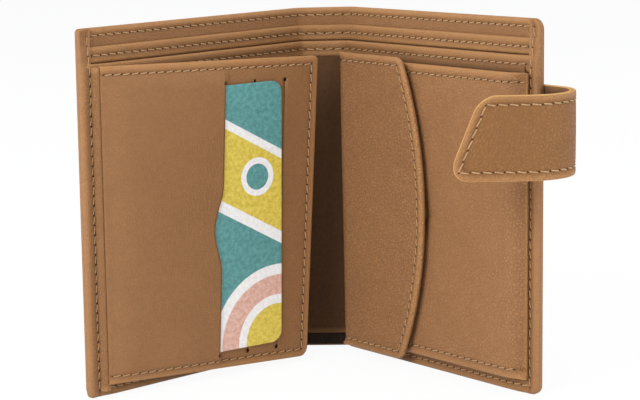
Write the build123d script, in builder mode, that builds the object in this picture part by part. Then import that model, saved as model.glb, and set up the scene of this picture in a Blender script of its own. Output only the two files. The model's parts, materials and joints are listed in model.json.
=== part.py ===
from build123d import *
import math
import os

# An upright bifold wallet of leather, stood open in a V on its bottom edges.
# Millimetres. +Z is up, the origin is the bottom centre of the spine, at the plane of the two
# folds, and +Y points away from the inside. Each half has its own plane: x along the half,
# y up, z as the depth from the fold line towards the inside of the wallet.

# ---------------------------------------------------------------- driving dimensions
HEIGHT = 115.0  # of the cover
HALF_WIDTH = 91.0  # from a fold to the fore-edge
SPINE_WIDTH = 18.0  # from fold to fold
REST_FOLD = 47.5  # degrees that each half is turned from lying flat

LEATHER = 1.0  # cover leather
COVER_OUTSIDE = 0.6  # how much of the cover leather lies outside the fold line
LINING = 0.4
DIVIDER = 0.8
BILL_GAP = 0.4  # each bill compartment, empty
HEM_THICKNESS = 0.5
HEM_HEIGHT = 5.0
SEWN_EDGE = 4.0  # width of the layers sewn together at the fore-edge and the bottom
FOLD_ROOM = 4.4  # inner layers stop this far from a fold, so that it can close
COVER_FOLD_ROOM = 0.8
CORNER = 4.0
SMALL_CORNER = 2.5

DIVIDER_1_TOP = 109.3
DIVIDER_2_TOP = 104.1
DIVIDER_1_SPINE = 15.0  # width of the dividers where they cross the spine
DIVIDER_2_SPINE = 12.0
SPINE_DIVIDER_FOOT = 5.0  # the lining shows below them

BINDING_WIDTH = 4.4
BINDING = 0.7
BINDING_TOP = 101.5

WING_LENGTH = 77.0
WING_HEIGHT = 99.2
WING_ANGLE = 8.5  # degrees that the wing stands off the left half
WING_TILT = 2.0  # degrees that the wing hangs down in its own plane
WING_FOOT = 4.2
WING_HINGE_U = 86.4
WING_CORNER = 5.0
STRIP = 0.6
WING_BACK = 0.6
WING_FACE = 0.8
POCKET_LINING = 0.2
WING_RIM = 3.0  # sewn border of the wing
SLIT_LENGTH = 87.4
SLIT_FOOT = 4.6  # from the wing's bottom edge to the slits
SLIT_WIDTH = 0.6
SLIT_PITCH = 11.5
FIRST_SLIT = 41.9  # from the wing's hinge
PUNCH_RADIUS = 0.7  # round ends of the slits
NOTCH_LENGTH = 26.0
NOTCH_DEPTH = 2.9
NOTCH_CENTRE = 45.5  # above the wing's bottom edge

CARD_WIDTH = 53.98
CARD_HEIGHT = 85.6
CARD_THICKNESS = 0.76
CARD_CORNER = 3.18
CARD_SHOWN = 24.1  # of the card's width, beside the first slit
CARD_SKEW = 2.2  # degrees against the slits
CARD_PLAY = 0.05

POCKET_FOOT = 3.5
POCKET_TOP = 99.0
POCKET_BACK = 0.6
POCKET_BACK_FOOT = 1.7
POCKET_BACK_TOP = 100.8
POCKET_ROOM = 1.2  # inside the coin pocket
POCKET_FRONT = 0.8
POCKET_MOUTH = 12.0  # from the fold to the front panel's free edge
GUSSET = 3.0

FLAP_FOLD_U = 4.4
FLAP_FOOT = 2.9
FLAP_TOP = 101.0
FLAP_WIDTH_TOP = 36.0  # from the fold line of the half to the flap's top corner
FLAP_WIDTH_MID = 46.9
FLAP_GAP = 1.7  # from the pocket's front to the flap's underside
FLAP_LINING = 0.6
FLAP_OUTER = 1.0
FLAP_WEB = 0.8
FLAP_CORNER = 2.5

SNAP_STUD_RADIUS = 1.7
SNAP_PLAY = 0.25
SNAP_DISC_RADIUS = 4.5
SNAP_RING_RADIUS = 5.2
SNAP_DISC = 0.4
SNAP_POST_RADIUS = 4.0
COIN_SNAP_U = 39.0
COIN_SNAP_Z = 52.0

STRAP_WIDTH = 25.0
STRAP_FOOT = 70.2
STRAP_OUTER = 1.0
STRAP_LINING = 0.8
STRAP_ROOT_PAST_EDGE = 0.6  # where the strap starts to bend, past the fore-edge
STRAP_STRAIGHT = 5.2
STRAP_SNAP_ROOM = 3.48  # from the left cover to the strap's lining, when the wallet is closed
STRAP_LIMB = 24.6
STRAP_SLANT = 10.0  # the top corner stands back from the bottom corner
STRAP_END_ROOM = 1.0
STRAP_SEWN_LENGTH = 26.0
STRAP_SEWN_ROOM = 1.6
STRAP_TOP_CORNER = 5.0
STRAP_BOTTOM_CORNER = 3.5
STRAP_SNAP_BACK = 10.0  # from the curl's end to the snap
STRAP_SNAP_UP = 12.5  # above the strap's bottom edge

CLEARANCE = 0.1
SMALL = 0.05

# ---------------------------------------------------------------- depths of the layers
COVER_INSIDE = LEATHER - COVER_OUTSIDE
LINING_INSIDE = COVER_INSIDE + LINING
DIVIDER_1_DEPTH = LINING_INSIDE + BILL_GAP
DIVIDER_2_DEPTH = DIVIDER_1_DEPTH + DIVIDER + BILL_GAP
FRONT_DEPTH = DIVIDER_2_DEPTH + DIVIDER  # the front face of the front divider
WING_DEPTH = FRONT_DEPTH + BINDING + 0.3  # the wing's hinge line
POCKET_DEPTH = FRONT_DEPTH + HEM_THICKNESS + CLEARANCE
POCKET_FRONT_DEPTH = POCKET_DEPTH + POCKET_BACK + POCKET_ROOM
POCKET_FACE = POCKET_FRONT_DEPTH + POCKET_FRONT
FLAP_DEPTH = POCKET_FACE + FLAP_GAP
FLAP_FACE = FLAP_DEPTH + FLAP_LINING + FLAP_OUTER
FLAP_HINGE_DEPTH = POCKET_DEPTH + POCKET_BACK / 2
STRAP_DEPTH = -COVER_OUTSIDE - STRAP_LINING  # where the strap's two leathers meet
CLOSED_FACE = SPINE_WIDTH + COVER_OUTSIDE  # the left cover's face, from the right fold, closed

LAYER_FAR = HALF_WIDTH - BINDING_WIDTH - CLEARANCE  # hems and pocket end at the binding

os.makedirs("parts", exist_ok=True)

# ---------------------------------------------------------------- planes
fold_cos = math.cos(math.radians(REST_FOLD))
fold_sin = math.sin(math.radians(REST_FOLD))
right_fold = (SPINE_WIDTH / 2, 0, 0)
left_fold = (-SPINE_WIDTH / 2, 0, 0)
# x runs away from the fold on the right half, and towards it on the left half
RIGHT = Plane(origin=right_fold, x_dir=(fold_cos, -fold_sin, 0), z_dir=(-fold_sin, -fold_cos, 0))
LEFT = Plane(origin=left_fold, x_dir=(fold_cos, fold_sin, 0), z_dir=(fold_sin, -fold_cos, 0))
SPINE = Plane(origin=(0, 0, 0), x_dir=(1, 0, 0), z_dir=(0, -1, 0))
WAY = {"left": -1, "right": 1}  # the sign of x on each half's plane
HALF = {"left": LEFT, "right": RIGHT}

wing_turn = Location((-WING_HINGE_U, 0, WING_DEPTH), (0, -WING_ANGLE, 0))
wing_hang = Location((0, WING_FOOT, 0), (0, 0, -WING_TILT))
WING_ROOT = Plane(LEFT.location * wing_turn)
WING = Plane(LEFT.location * wing_turn * wing_hang)


def save(piece, name):
    """Names a piece and writes it."""
    piece.part.label = name
    export_step(piece.part, f"parts/{name}.step")


def sheet(plane, low, high, depth, thickness, corners=(), radius=0.0):
    """A flat rectangle between two corners of a plane, with the named corners rounded."""
    width = high[0] - low[0]
    height = high[1] - low[1]
    middle = ((low[0] + high[0]) / 2, (low[1] + high[1]) / 2)
    with BuildPart() as piece:
        with BuildSketch(plane.offset(depth)):
            with Locations(middle):
                Rectangle(width, height)
        extrude(amount=thickness)
        edges = piece.edges().filter_by(Axis((0, 0, 0), plane.z_dir))
        for across, up in corners:
            corner = ((low[0], high[0])[across > 0], (low[1], high[1])[up > 0])
            spot = plane.from_local_coords((*corner, depth + thickness / 2))
            fillet(edges.sort_by_distance(spot)[0], radius)
    return piece


def on_half(side, near, far, foot, top, depth, thickness, corners=(), radius=0.0):
    """A sheet on a half, from its distances along the half and its heights."""
    way = WAY[side]
    low = (min(way * near, way * far), foot)
    high = (max(way * near, way * far), top)
    turned = [(way * across, up) for across, up in corners]
    return sheet(HALF[side], low, high, depth, thickness, turned, radius)


FORE_CORNERS = ((1, 1), (1, -1))


# ---------------------------------------------------------------- the halves' own layers
def half_cover(side):
    """The outer leather of a half, with its two fore-edge corners rounded."""
    return on_half(
        side, COVER_FOLD_ROOM, HALF_WIDTH, 0, HEIGHT, -COVER_OUTSIDE, LEATHER, FORE_CORNERS, CORNER
    )


def half_divider(side, depth, top):
    """A bill divider's sheet."""
    return on_half(
        side,
        FOLD_ROOM,
        HALF_WIDTH - CLEARANCE,
        CLEARANCE,
        top,
        depth,
        DIVIDER,
        FORE_CORNERS,
        SMALL_CORNER,
    )


def save_welts(side, name, top, back, front):
    """Fills the sewn fore-edge and bottom between a divider and the layer behind it."""
    far = HALF_WIDTH - CLEARANCE
    thickness = front - back
    near = far - SEWN_EDGE
    side_welt = on_half(side, near, far, CORNER, top - CORNER, back, thickness)
    save(side_welt, f"{name}_side_welt")
    foot_welt = on_half(
        side, FOLD_ROOM, near - CLEARANCE, CLEARANCE, CLEARANCE + SEWN_EDGE, back, thickness
    )
    save(foot_welt, f"{name}_foot_welt")


for side in ("left", "right"):
    save(half_cover(side), f"{side}_cover")
    # the cover's top edge is turned in over the lining
    hem = on_half(
        side,
        FOLD_ROOM,
        LAYER_FAR,
        HEIGHT - HEM_HEIGHT,
        HEIGHT - CLEARANCE,
        COVER_INSIDE,
        HEM_THICKNESS,
    )
    save(hem, f"{side}_cover_hem")
    lining = on_half(
        side,
        FOLD_ROOM,
        HALF_WIDTH - CLEARANCE,
        CLEARANCE,
        HEIGHT - HEM_HEIGHT - CLEARANCE,
        COVER_INSIDE,
        LINING,
        ((1, -1),),
        CORNER,
    )
    save(lining, f"{side}_lining")
    top_1 = DIVIDER_1_TOP - HEM_THICKNESS
    top_2 = DIVIDER_2_TOP - HEM_THICKNESS
    save(half_divider(side, DIVIDER_1_DEPTH, top_1), f"{side}_divider_1")
    save_welts(side, f"{side}_divider_1", top_1, LINING_INSIDE, DIVIDER_1_DEPTH)
    save(half_divider(side, DIVIDER_2_DEPTH, top_2), f"{side}_divider_2")
    save_welts(side, f"{side}_divider_2", top_2, DIVIDER_1_DEPTH + DIVIDER, DIVIDER_2_DEPTH)
    binding = on_half(
        side,
        HALF_WIDTH - BINDING_WIDTH,
        HALF_WIDTH,
        0,
        BINDING_TOP,
        FRONT_DEPTH,
        BINDING,
        ((1, -1),),
        CORNER,
    )
    save(binding, f"{side}_edge_binding")


def divider_hem(plane, low_x, high_x, depth, top):
    """The leather strip folded over a divider's top edge: a front face and a cap."""
    with BuildPart() as piece:
        with BuildSketch(plane.offset(depth + DIVIDER)):
            with Locations(((low_x + high_x) / 2, top - HEM_HEIGHT / 2)):
                Rectangle(high_x - low_x, HEM_HEIGHT)
        extrude(amount=HEM_THICKNESS)
        with BuildSketch(plane.offset(depth)):
            with Locations(((low_x + high_x) / 2, top - HEM_THICKNESS / 2)):
                Rectangle(high_x - low_x, HEM_THICKNESS)
        extrude(amount=DIVIDER)
    return piece


dividers = (
    ("divider_1", DIVIDER_1_DEPTH, DIVIDER_1_TOP, DIVIDER_1_SPINE),
    ("divider_2", DIVIDER_2_DEPTH, DIVIDER_2_TOP, DIVIDER_2_SPINE),
)
for name, depth, top, spine_width in dividers:
    for side in ("left", "right"):
        ends = sorted((WAY[side] * FOLD_ROOM, WAY[side] * LAYER_FAR))
        save(divider_hem(HALF[side], ends[0], ends[1], depth, top), f"{side}_{name}_hem")

# ---------------------------------------------------------------- the spine
cover_reach = SPINE_WIDTH / 2 - COVER_FOLD_ROOM
spine_cover = sheet(SPINE, (-cover_reach, 0), (cover_reach, HEIGHT), -COVER_OUTSIDE, LEATHER)
save(spine_cover, "spine_cover")
spine_lining = sheet(
    SPINE, (-cover_reach, CLEARANCE), (cover_reach, HEIGHT - CLEARANCE), COVER_INSIDE, LINING
)
save(spine_lining, "spine_lining")
for name, depth, top, spine_width in dividers:
    reach = spine_width / 2
    panel = sheet(
        SPINE, (-reach, SPINE_DIVIDER_FOOT), (reach, top - HEM_THICKNESS), depth, DIVIDER
    )
    save(panel, f"{name}_spine")
    save(divider_hem(SPINE, -reach, reach, depth, top), f"{name}_spine_hem")

# ---------------------------------------------------------------- the card wing
LINING_T = WING_BACK  # heights above the wing's underside
FACE_T = LINING_T + POCKET_LINING + SMALL
FLAT_TOP = FACE_T + WING_FACE
CARD_T = FLAT_TOP + CARD_PLAY
LIP_T = CARD_T + CARD_THICKNESS + CARD_PLAY
LIP_TOP = LIP_T + WING_FACE
WING_START = 3.6  # where the wing's leather starts, from the hinge line
RAMP_START = WING_START + WING_RIM
RAMP = 1.5
slit_middle = SLIT_FOOT + SLIT_LENGTH / 2

with BuildPart() as hinge_strip:
    # its far edge follows the wing, which hangs at a small tilt
    lean = math.tan(math.radians(WING_TILT))
    strip_far = WING_START - 0.4
    strip_height = WING_HEIGHT - 2
    with BuildSketch(WING_ROOT):
        with BuildLine():
            Polyline(
                (0.4, WING_FOOT + 1),
                (strip_far, WING_FOOT + 1),
                (strip_far + lean * strip_height, WING_FOOT + 1 + strip_height),
                (0.4, WING_FOOT + 1 + strip_height),
                close=True,
            )
        make_face()
    extrude(amount=STRIP)
save(hinge_strip, "wing_hinge_strip")

free_corners = ((1, 1), (1, -1))
wing_back = sheet(
    WING, (WING_START, 0), (WING_LENGTH, WING_HEIGHT), 0, WING_BACK, free_corners, WING_CORNER
)
save(wing_back, "wing_back")
pocket_lining = sheet(
    WING,
    (WING_START + WING_RIM, WING_RIM),
    (WING_LENGTH - WING_RIM, WING_HEIGHT - WING_RIM),
    LINING_T,
    POCKET_LINING,
)
save(pocket_lining, "wing_pocket_lining")

# a section of the face in the wing's x and thickness, standing on the wing's bottom edge
WING_SECTION = Plane(origin=WING.origin, x_dir=WING.x_dir, z_dir=-WING.y_dir)
with BuildPart() as wing_face:
    with BuildSketch(WING_SECTION):
        with BuildLine():
            # the leather left of the first slit is lifted, to pass over the card
            Polyline(
                (WING_START, FACE_T),
                (RAMP_START, FACE_T),
                (RAMP_START + RAMP, LIP_T),
                (FIRST_SLIT - WING_FACE, LIP_T),
                (FIRST_SLIT - WING_FACE, FACE_T),
                (WING_LENGTH, FACE_T),
                (WING_LENGTH, FLAT_TOP),
                (FIRST_SLIT, FLAT_TOP),
                (FIRST_SLIT, LIP_TOP),
                (RAMP_START + RAMP, LIP_TOP),
                (RAMP_START, FLAT_TOP),
                (WING_START, FLAT_TOP),
                close=True,
            )
        make_face()
    extrude(amount=-WING_HEIGHT)
    # the lifted leather is closed down to the border at both ends
    for height in (0, WING_HEIGHT - WING_RIM):
        with BuildSketch(WING_SECTION.offset(-height)):
            with BuildLine():
                Polyline(
                    (RAMP_START, FACE_T),
                    (FIRST_SLIT, FACE_T),
                    (FIRST_SLIT, LIP_TOP),
                    (RAMP_START + RAMP, LIP_TOP),
                    close=True,
                )
            make_face()
        extrude(amount=-WING_RIM)
    # the sewn border, down to the wing's back
    with BuildSketch(WING.offset(LINING_T)):
        with Locations(((WING_START + WING_LENGTH) / 2, WING_HEIGHT / 2)):
            Rectangle(WING_LENGTH - WING_START, WING_HEIGHT)
            Rectangle(
                WING_LENGTH - WING_START - 2 * WING_RIM,
                WING_HEIGHT - 2 * WING_RIM,
                mode=Mode.SUBTRACT,
            )
    extrude(amount=FACE_T - LINING_T)
    # the first slit: the gap under its lip, which the card passes
    with BuildSketch(WING.offset(FLAT_TOP)):
        with Locations((FIRST_SLIT, slit_middle)):
            Rectangle(4 * WING_FACE, SLIT_LENGTH)
    extrude(amount=LIP_T - FLAT_TOP, mode=Mode.SUBTRACT)
    # the other slits, with punched round ends
    with BuildSketch(WING.offset(FACE_T)):
        for number in (1, 2):
            across = FIRST_SLIT + number * SLIT_PITCH
            with Locations((across, slit_middle)):
                Rectangle(SLIT_WIDTH, SLIT_LENGTH)
            with Locations(
                (across, slit_middle - SLIT_LENGTH / 2), (across, slit_middle + SLIT_LENGTH / 2)
            ):
                Circle(PUNCH_RADIUS)
    extrude(amount=WING_FACE, mode=Mode.SUBTRACT)
    # the thumb notch in the first lip
    notch_radius = (NOTCH_LENGTH**2 / 4 + NOTCH_DEPTH**2) / (2 * NOTCH_DEPTH)
    with BuildSketch(WING.offset(LIP_T)):
        with Locations((FIRST_SLIT - NOTCH_DEPTH + notch_radius, NOTCH_CENTRE)):
            Circle(notch_radius)
    extrude(amount=WING_FACE, mode=Mode.SUBTRACT)
    for height in (0, WING_HEIGHT):
        spot = WING.from_local_coords((WING_LENGTH, height, FACE_T))
        upright = wing_face.edges().filter_by(Axis((0, 0, 0), WING.z_dir))
        fillet(upright.sort_by_distance(spot)[0], WING_CORNER)
save(wing_face, "wing_face")

with BuildPart() as card:
    with BuildSketch(WING.offset(CARD_T)):
        with Locations(
            Location(
                (FIRST_SLIT + CARD_SHOWN - CARD_WIDTH / 2, slit_middle, 0), (0, 0, CARD_SKEW)
            )
        ):
            RectangleRounded(CARD_WIDTH, CARD_HEIGHT, CARD_CORNER)
    extrude(amount=CARD_THICKNESS)
save(card, "card")

# ---------------------------------------------------------------- the coin pocket
pocket_back = on_half(
    "right",
    FLAP_FOLD_U + FLAP_WEB,
    LAYER_FAR,
    POCKET_BACK_FOOT,
    POCKET_BACK_TOP,
    POCKET_DEPTH,
    POCKET_BACK,
)
save(pocket_back, "coin_pocket_back")
pocket_front = on_half(
    "right",
    POCKET_MOUTH,
    LAYER_FAR,
    POCKET_FOOT,
    POCKET_TOP,
    POCKET_FRONT_DEPTH,
    POCKET_FRONT,
)
save(pocket_front, "coin_pocket_front")
gusset_depth = POCKET_DEPTH + POCKET_BACK
gussets = {
    "coin_gusset_top": (POCKET_MOUTH, LAYER_FAR, POCKET_TOP - GUSSET, POCKET_TOP),
    "coin_gusset_bottom": (POCKET_MOUTH, LAYER_FAR, POCKET_FOOT, POCKET_FOOT + GUSSET),
    "coin_gusset_side": (
        LAYER_FAR - GUSSET,
        LAYER_FAR,
        POCKET_FOOT + GUSSET,
        POCKET_TOP - GUSSET,
    ),
}
for name, (near, far, foot, top) in gussets.items():
    save(on_half("right", near, far, foot, top, gusset_depth, POCKET_ROOM), name)


def disc(plane, middle, depth, radius, thickness, bore=0.0):
    """A round disc or ring that lies on a plane."""
    with BuildPart() as piece:
        with BuildSketch(plane.offset(depth)):
            with Locations(middle):
                Circle(radius)
                if bore:
                    Circle(bore, mode=Mode.SUBTRACT)
        extrude(amount=thickness)
    return piece


def stud(plane, middle, depth, height, way=1):
    """A snap stud: a disc on the leather, and a post with a swollen head, away along way."""
    with BuildPart() as piece:
        with BuildSketch(plane.offset(depth)):
            with Locations(middle):
                Circle(SNAP_DISC_RADIUS)
        extrude(amount=way * SNAP_DISC)
        with BuildSketch(plane.offset(depth + way * SNAP_DISC)):
            with Locations(middle):
                Circle(SNAP_STUD_RADIUS)
        extrude(amount=way * (height - SNAP_DISC))
        tip = piece.faces().sort_by(Axis(plane.origin, plane.z_dir * way))[-1]
        fillet(tip.edges(), SNAP_STUD_RADIUS / 3)
    return piece


coin_snap = (COIN_SNAP_U, COIN_SNAP_Z)
ring_gap = 0.3
save(stud(RIGHT, coin_snap, POCKET_FACE, FLAP_GAP - CLEARANCE), "coin_snap_stud")
coin_post = disc(
    RIGHT, coin_snap, POCKET_FRONT_DEPTH - SNAP_DISC, SNAP_POST_RADIUS, SNAP_DISC
)
save(coin_post, "coin_snap_post")

# ---------------------------------------------------------------- the coin flap
flap_near = FLAP_FOLD_U + FLAP_WEB


def flap_leaf(depth, thickness, inset):
    """One leather of the flap, with its bowed rim moved in by the inset."""
    foot = FLAP_FOOT + inset
    top = FLAP_TOP - inset
    with BuildPart() as piece:
        with BuildSketch(RIGHT.offset(depth)):
            with BuildLine():
                Line((flap_near, foot), (FLAP_WIDTH_TOP - inset, foot))
                ThreePointArc(
                    (FLAP_WIDTH_TOP - inset, foot),
                    (FLAP_WIDTH_MID - inset, (foot + top) / 2),
                    (FLAP_WIDTH_TOP - inset, top),
                )
                Line((FLAP_WIDTH_TOP - inset, top), (flap_near, top))
                Line((flap_near, top), (flap_near, foot))
            make_face()
        extrude(amount=thickness)
        upright = piece.edges().filter_by(Axis((0, 0, 0), RIGHT.z_dir))
        for height in (foot, top):
            spot = RIGHT.from_local_coords((FLAP_WIDTH_TOP - inset, height, depth + thickness / 2))
            fillet(upright.sort_by_distance(spot)[0], FLAP_CORNER)
    return piece


save(flap_leaf(FLAP_DEPTH + FLAP_LINING, FLAP_OUTER, 0), "coin_flap_outer")
save(flap_leaf(FLAP_DEPTH, FLAP_LINING, SMALL), "coin_flap_lining")
flap_fold = on_half(
    "right",
    FLAP_FOLD_U,
    flap_near,
    FLAP_FOOT,
    FLAP_TOP,
    FLAP_HINGE_DEPTH + POCKET_BACK,
    FLAP_FACE - FLAP_HINGE_DEPTH - POCKET_BACK,
)
save(flap_fold, "coin_flap_fold")
coin_socket = disc(
    RIGHT,
    coin_snap,
    POCKET_FACE + SNAP_DISC + ring_gap,
    SNAP_RING_RADIUS,
    FLAP_GAP - SNAP_DISC - ring_gap,
    SNAP_STUD_RADIUS + SNAP_PLAY,
)
save(coin_socket, "coin_snap_socket")

# ---------------------------------------------------------------- the closing strap
STRAP_TOP = STRAP_FOOT + STRAP_WIDTH
# the curl is as large as the closed wallet asks: the strap's end then lies along its cover
strap_rise = CLOSED_FACE + STRAP_SNAP_ROOM + STRAP_LINING - STRAP_DEPTH
STRAP_CURL = (strap_rise - STRAP_STRAIGHT * fold_sin) / (1 + fold_cos)
root_u = HALF_WIDTH + STRAP_ROOT_PAST_EDGE
anchor_near = root_u - STRAP_SEWN_LENGTH
anchor_far = root_u - STRAP_SEWN_ROOM
anchor_outer = on_half(
    "right",
    anchor_near,
    anchor_far,
    STRAP_FOOT,
    STRAP_TOP,
    STRAP_DEPTH - STRAP_OUTER,
    STRAP_OUTER,
)
save(anchor_outer, "strap_anchor_outer")
anchor_lining = on_half(
    "right", anchor_near, anchor_far, STRAP_FOOT, STRAP_TOP, STRAP_DEPTH, STRAP_LINING
)
save(anchor_lining, "strap_anchor_lining")

# plan of the strap: x away from the fold, y as depth, z down
strap_plan = Plane(
    origin=RIGHT.from_local_coords((0, STRAP_FOOT, 0)), x_dir=RIGHT.x_dir, z_dir=(0, 0, -1)
)
curl_middle = (root_u + STRAP_STRAIGHT, STRAP_DEPTH + STRAP_CURL)


def on_curl(radius, angle):
    """A point of the curl, its angle counted from the end of the straight part."""
    turn = math.radians(angle - 90)
    return (
        curl_middle[0] + radius * math.cos(turn),
        curl_middle[1] + radius * math.sin(turn),
    )


def along_limb(start, length):
    """A point further along the strap's straight end."""
    return (start[0] - length * fold_cos, start[1] + length * fold_sin)


curl_turn = 180 - REST_FOLD  # the strap's end then closes parallel to the cover


def strap_leather(inner, outer):
    """One leather of the strap, between two radii of its curl, with its slanted end."""
    near = root_u + STRAP_END_ROOM
    with BuildPart() as piece:
        with BuildSketch(strap_plan):
            with BuildLine():
                Line((near, curl_middle[1] - outer), on_curl(outer, 0))
                ThreePointArc(
                    on_curl(outer, 0), on_curl(outer, curl_turn / 2), on_curl(outer, curl_turn)
                )
                Line(on_curl(outer, curl_turn), along_limb(on_curl(outer, curl_turn), STRAP_LIMB))
                Line(
                    along_limb(on_curl(outer, curl_turn), STRAP_LIMB),
                    along_limb(on_curl(inner, curl_turn), STRAP_LIMB),
                )
                Line(along_limb(on_curl(inner, curl_turn), STRAP_LIMB), on_curl(inner, curl_turn))
                ThreePointArc(
                    on_curl(inner, curl_turn), on_curl(inner, curl_turn / 2), on_curl(inner, 0)
                )
                Line(on_curl(inner, 0), (near, curl_middle[1] - inner))
                Line((near, curl_middle[1] - inner), (near, curl_middle[1] - outer))
            make_face()
        extrude(amount=-STRAP_WIDTH)
        # cut the slanted end and round its corners
        with BuildSketch(strap_face.offset(-STRAP_CURL / 2)):
            with BuildLine():
                Polyline(
                    (STRAP_LIMB + 1, 0),
                    (STRAP_LIMB + 1, STRAP_WIDTH + 1),
                    (STRAP_LIMB - STRAP_SLANT, STRAP_WIDTH + 1),
                    (STRAP_LIMB - STRAP_SLANT, STRAP_WIDTH),
                    (STRAP_LIMB, 0),
                    close=True,
                )
            make_face()
        extrude(amount=STRAP_CURL, mode=Mode.SUBTRACT)
        flat = piece.edges().filter_by(Axis((0, 0, 0), strap_face.z_dir))
        for (across, up), radius in (
            ((STRAP_LIMB, 0), STRAP_BOTTOM_CORNER),
            ((STRAP_LIMB - STRAP_SLANT, STRAP_WIDTH), STRAP_TOP_CORNER),
        ):
            fillet(flat.sort_by_distance(strap_face.from_local_coords((across, up, 0)))[0], radius)
    return piece


# the strap's straight end as a plane: x towards its tip, y up, z to the inside of the curl
limb_start = strap_plan.from_local_coords((*on_curl(STRAP_CURL, curl_turn), 0))
limb_next = strap_plan.from_local_coords((*along_limb(on_curl(STRAP_CURL, curl_turn), 1), 0))
limb_x = (limb_next - limb_start).normalized()
strap_face = Plane(origin=limb_start, x_dir=limb_x, z_dir=limb_x.cross(Vector(0, 0, 1)))
save(strap_leather(STRAP_CURL, STRAP_CURL + STRAP_OUTER), "strap_outer")
save(strap_leather(STRAP_CURL - STRAP_LINING, STRAP_CURL), "strap_lining")

# the snap: the stud on the left cover meets the strap's socket when the wallet is closed
curl_end_closed = root_u + STRAP_STRAIGHT * fold_cos - STRAP_CURL * fold_sin
cover_snap = (-(curl_end_closed - STRAP_SNAP_BACK), STRAP_FOOT + STRAP_SNAP_UP)
save(stud(LEFT, cover_snap, -COVER_OUTSIDE, STRAP_SNAP_ROOM - CLEARANCE, -1), "cover_snap_stud")
cover_post = disc(LEFT, cover_snap, LINING_INSIDE, SNAP_POST_RADIUS, BILL_GAP - SMALL)
save(cover_post, "cover_snap_post")
socket_height = STRAP_SNAP_ROOM - SNAP_DISC - ring_gap
strap_socket = disc(
    strap_face,
    (STRAP_SNAP_BACK, STRAP_SNAP_UP),
    STRAP_LINING,
    SNAP_RING_RADIUS,
    socket_height,
    SNAP_STUD_RADIUS + SNAP_PLAY,
)
save(strap_socket, "strap_snap_socket")

print(f"inside of the strap's curl has a radius of {STRAP_CURL - STRAP_LINING:.2f} mm")
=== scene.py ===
# %% [markdown]
# # An upright leather wallet, stood open
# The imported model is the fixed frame: its hinges say where each half lies. Every visible piece
# of leather is made here again as a soft sheet with rolled edges, sewn with real thread.

import json
import math

import bmesh
import bpy
import numpy as np
from mathutils import Matrix, Vector


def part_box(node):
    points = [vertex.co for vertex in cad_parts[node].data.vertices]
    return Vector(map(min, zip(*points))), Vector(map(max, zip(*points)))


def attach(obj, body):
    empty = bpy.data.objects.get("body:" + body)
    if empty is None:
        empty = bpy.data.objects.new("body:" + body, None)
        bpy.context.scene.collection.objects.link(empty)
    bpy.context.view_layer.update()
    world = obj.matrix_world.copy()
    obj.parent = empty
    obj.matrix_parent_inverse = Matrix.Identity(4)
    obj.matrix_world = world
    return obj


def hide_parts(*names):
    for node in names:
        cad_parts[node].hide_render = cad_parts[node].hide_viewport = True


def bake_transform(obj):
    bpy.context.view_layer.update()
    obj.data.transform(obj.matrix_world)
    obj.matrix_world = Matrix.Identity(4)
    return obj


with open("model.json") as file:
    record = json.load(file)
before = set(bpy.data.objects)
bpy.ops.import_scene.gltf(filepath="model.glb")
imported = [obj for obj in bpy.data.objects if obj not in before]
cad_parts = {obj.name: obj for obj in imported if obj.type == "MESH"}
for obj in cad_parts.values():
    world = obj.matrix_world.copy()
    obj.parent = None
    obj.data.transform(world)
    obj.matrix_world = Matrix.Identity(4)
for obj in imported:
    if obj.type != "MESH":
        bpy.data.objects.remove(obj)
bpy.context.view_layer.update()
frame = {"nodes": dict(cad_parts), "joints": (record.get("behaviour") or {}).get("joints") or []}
joints = {joint["name"]: joint for joint in frame["joints"]}

# %% [markdown]
# ## Sizes
# Lengths are millimetres until a mesh is made. The main ones are read off the frame, and the
# rest are the leather's own: how thick it is, how far in its seams run, how long a stitch is.

# %% Name the wallet's sizes
mm = 0.001
up = np.array((0.0, 0.0, 1.0))
spine_width = (joints["right_fold"]["pos_m"][0] - joints["left_fold"]["pos_m"][0]) / mm
spine_half = spine_width / 2
rest_fold = math.radians(-joints["left_fold"]["range_deg"][0])
cover_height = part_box("left_cover")[1].z / mm
middle_height = 50.0
half_width = 91.0
fold_radius = 5.0
seam_in = 2.7
stitch_pitch = 3.05
print("cover", cover_height, "spine", spine_width, "fold", round(math.degrees(rest_fold), 1))

# %% [markdown]
# ## Places
# A flat half is a plane, so a distance along it, a height and a depth give a point. A layer that
# crosses the spine follows a path of two straights joined by an arc, and a deeper layer takes a
# tighter arc about the same middle, as the pages of a folded card do. The sheets could be made
# flat and bent by modifiers, but a formula puts each point where the frame's hinges want it.

# %% Place points on the halves and across the spine
way = {"left": -1, "right": 1}
press_share, press_from, press_to = 0.3, 81.5, 88.0


def rising(value, low, high):
    """0 below low, 1 above high and a smooth step between them."""
    share = np.clip((value - low) / (high - low), 0, 1)
    return share * share * (3 - 2 * share)


def quarter_round(share):
    """0 at 0 and 1 from 1 on, along a quarter circle."""
    return np.sqrt(np.maximum(1 - (1 - np.clip(share, 0, 1)) ** 2, 0))


def squeezed(u, depth):
    """The fore-edge's seam presses the layers together, so inner depths shrink beside it."""
    pressed = 1 - press_share * rising(u, press_from, press_to)
    return np.where(depth > 0, depth * pressed, depth)


def half_place(side):
    """Points of a half from distances along it, heights and depths, in millimetres."""
    sign = way[side]
    origin = np.array((sign * spine_half, 0, 0))
    along = np.array((sign * math.cos(rest_fold), -math.sin(rest_fold), 0))
    out = np.array((-sign * math.sin(rest_fold), -math.cos(rest_fold), 0))

    def place(u, z, depth):
        return origin + np.outer(u, along) + np.outer(z, up) + np.outer(squeezed(u, depth), out)

    return place


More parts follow.
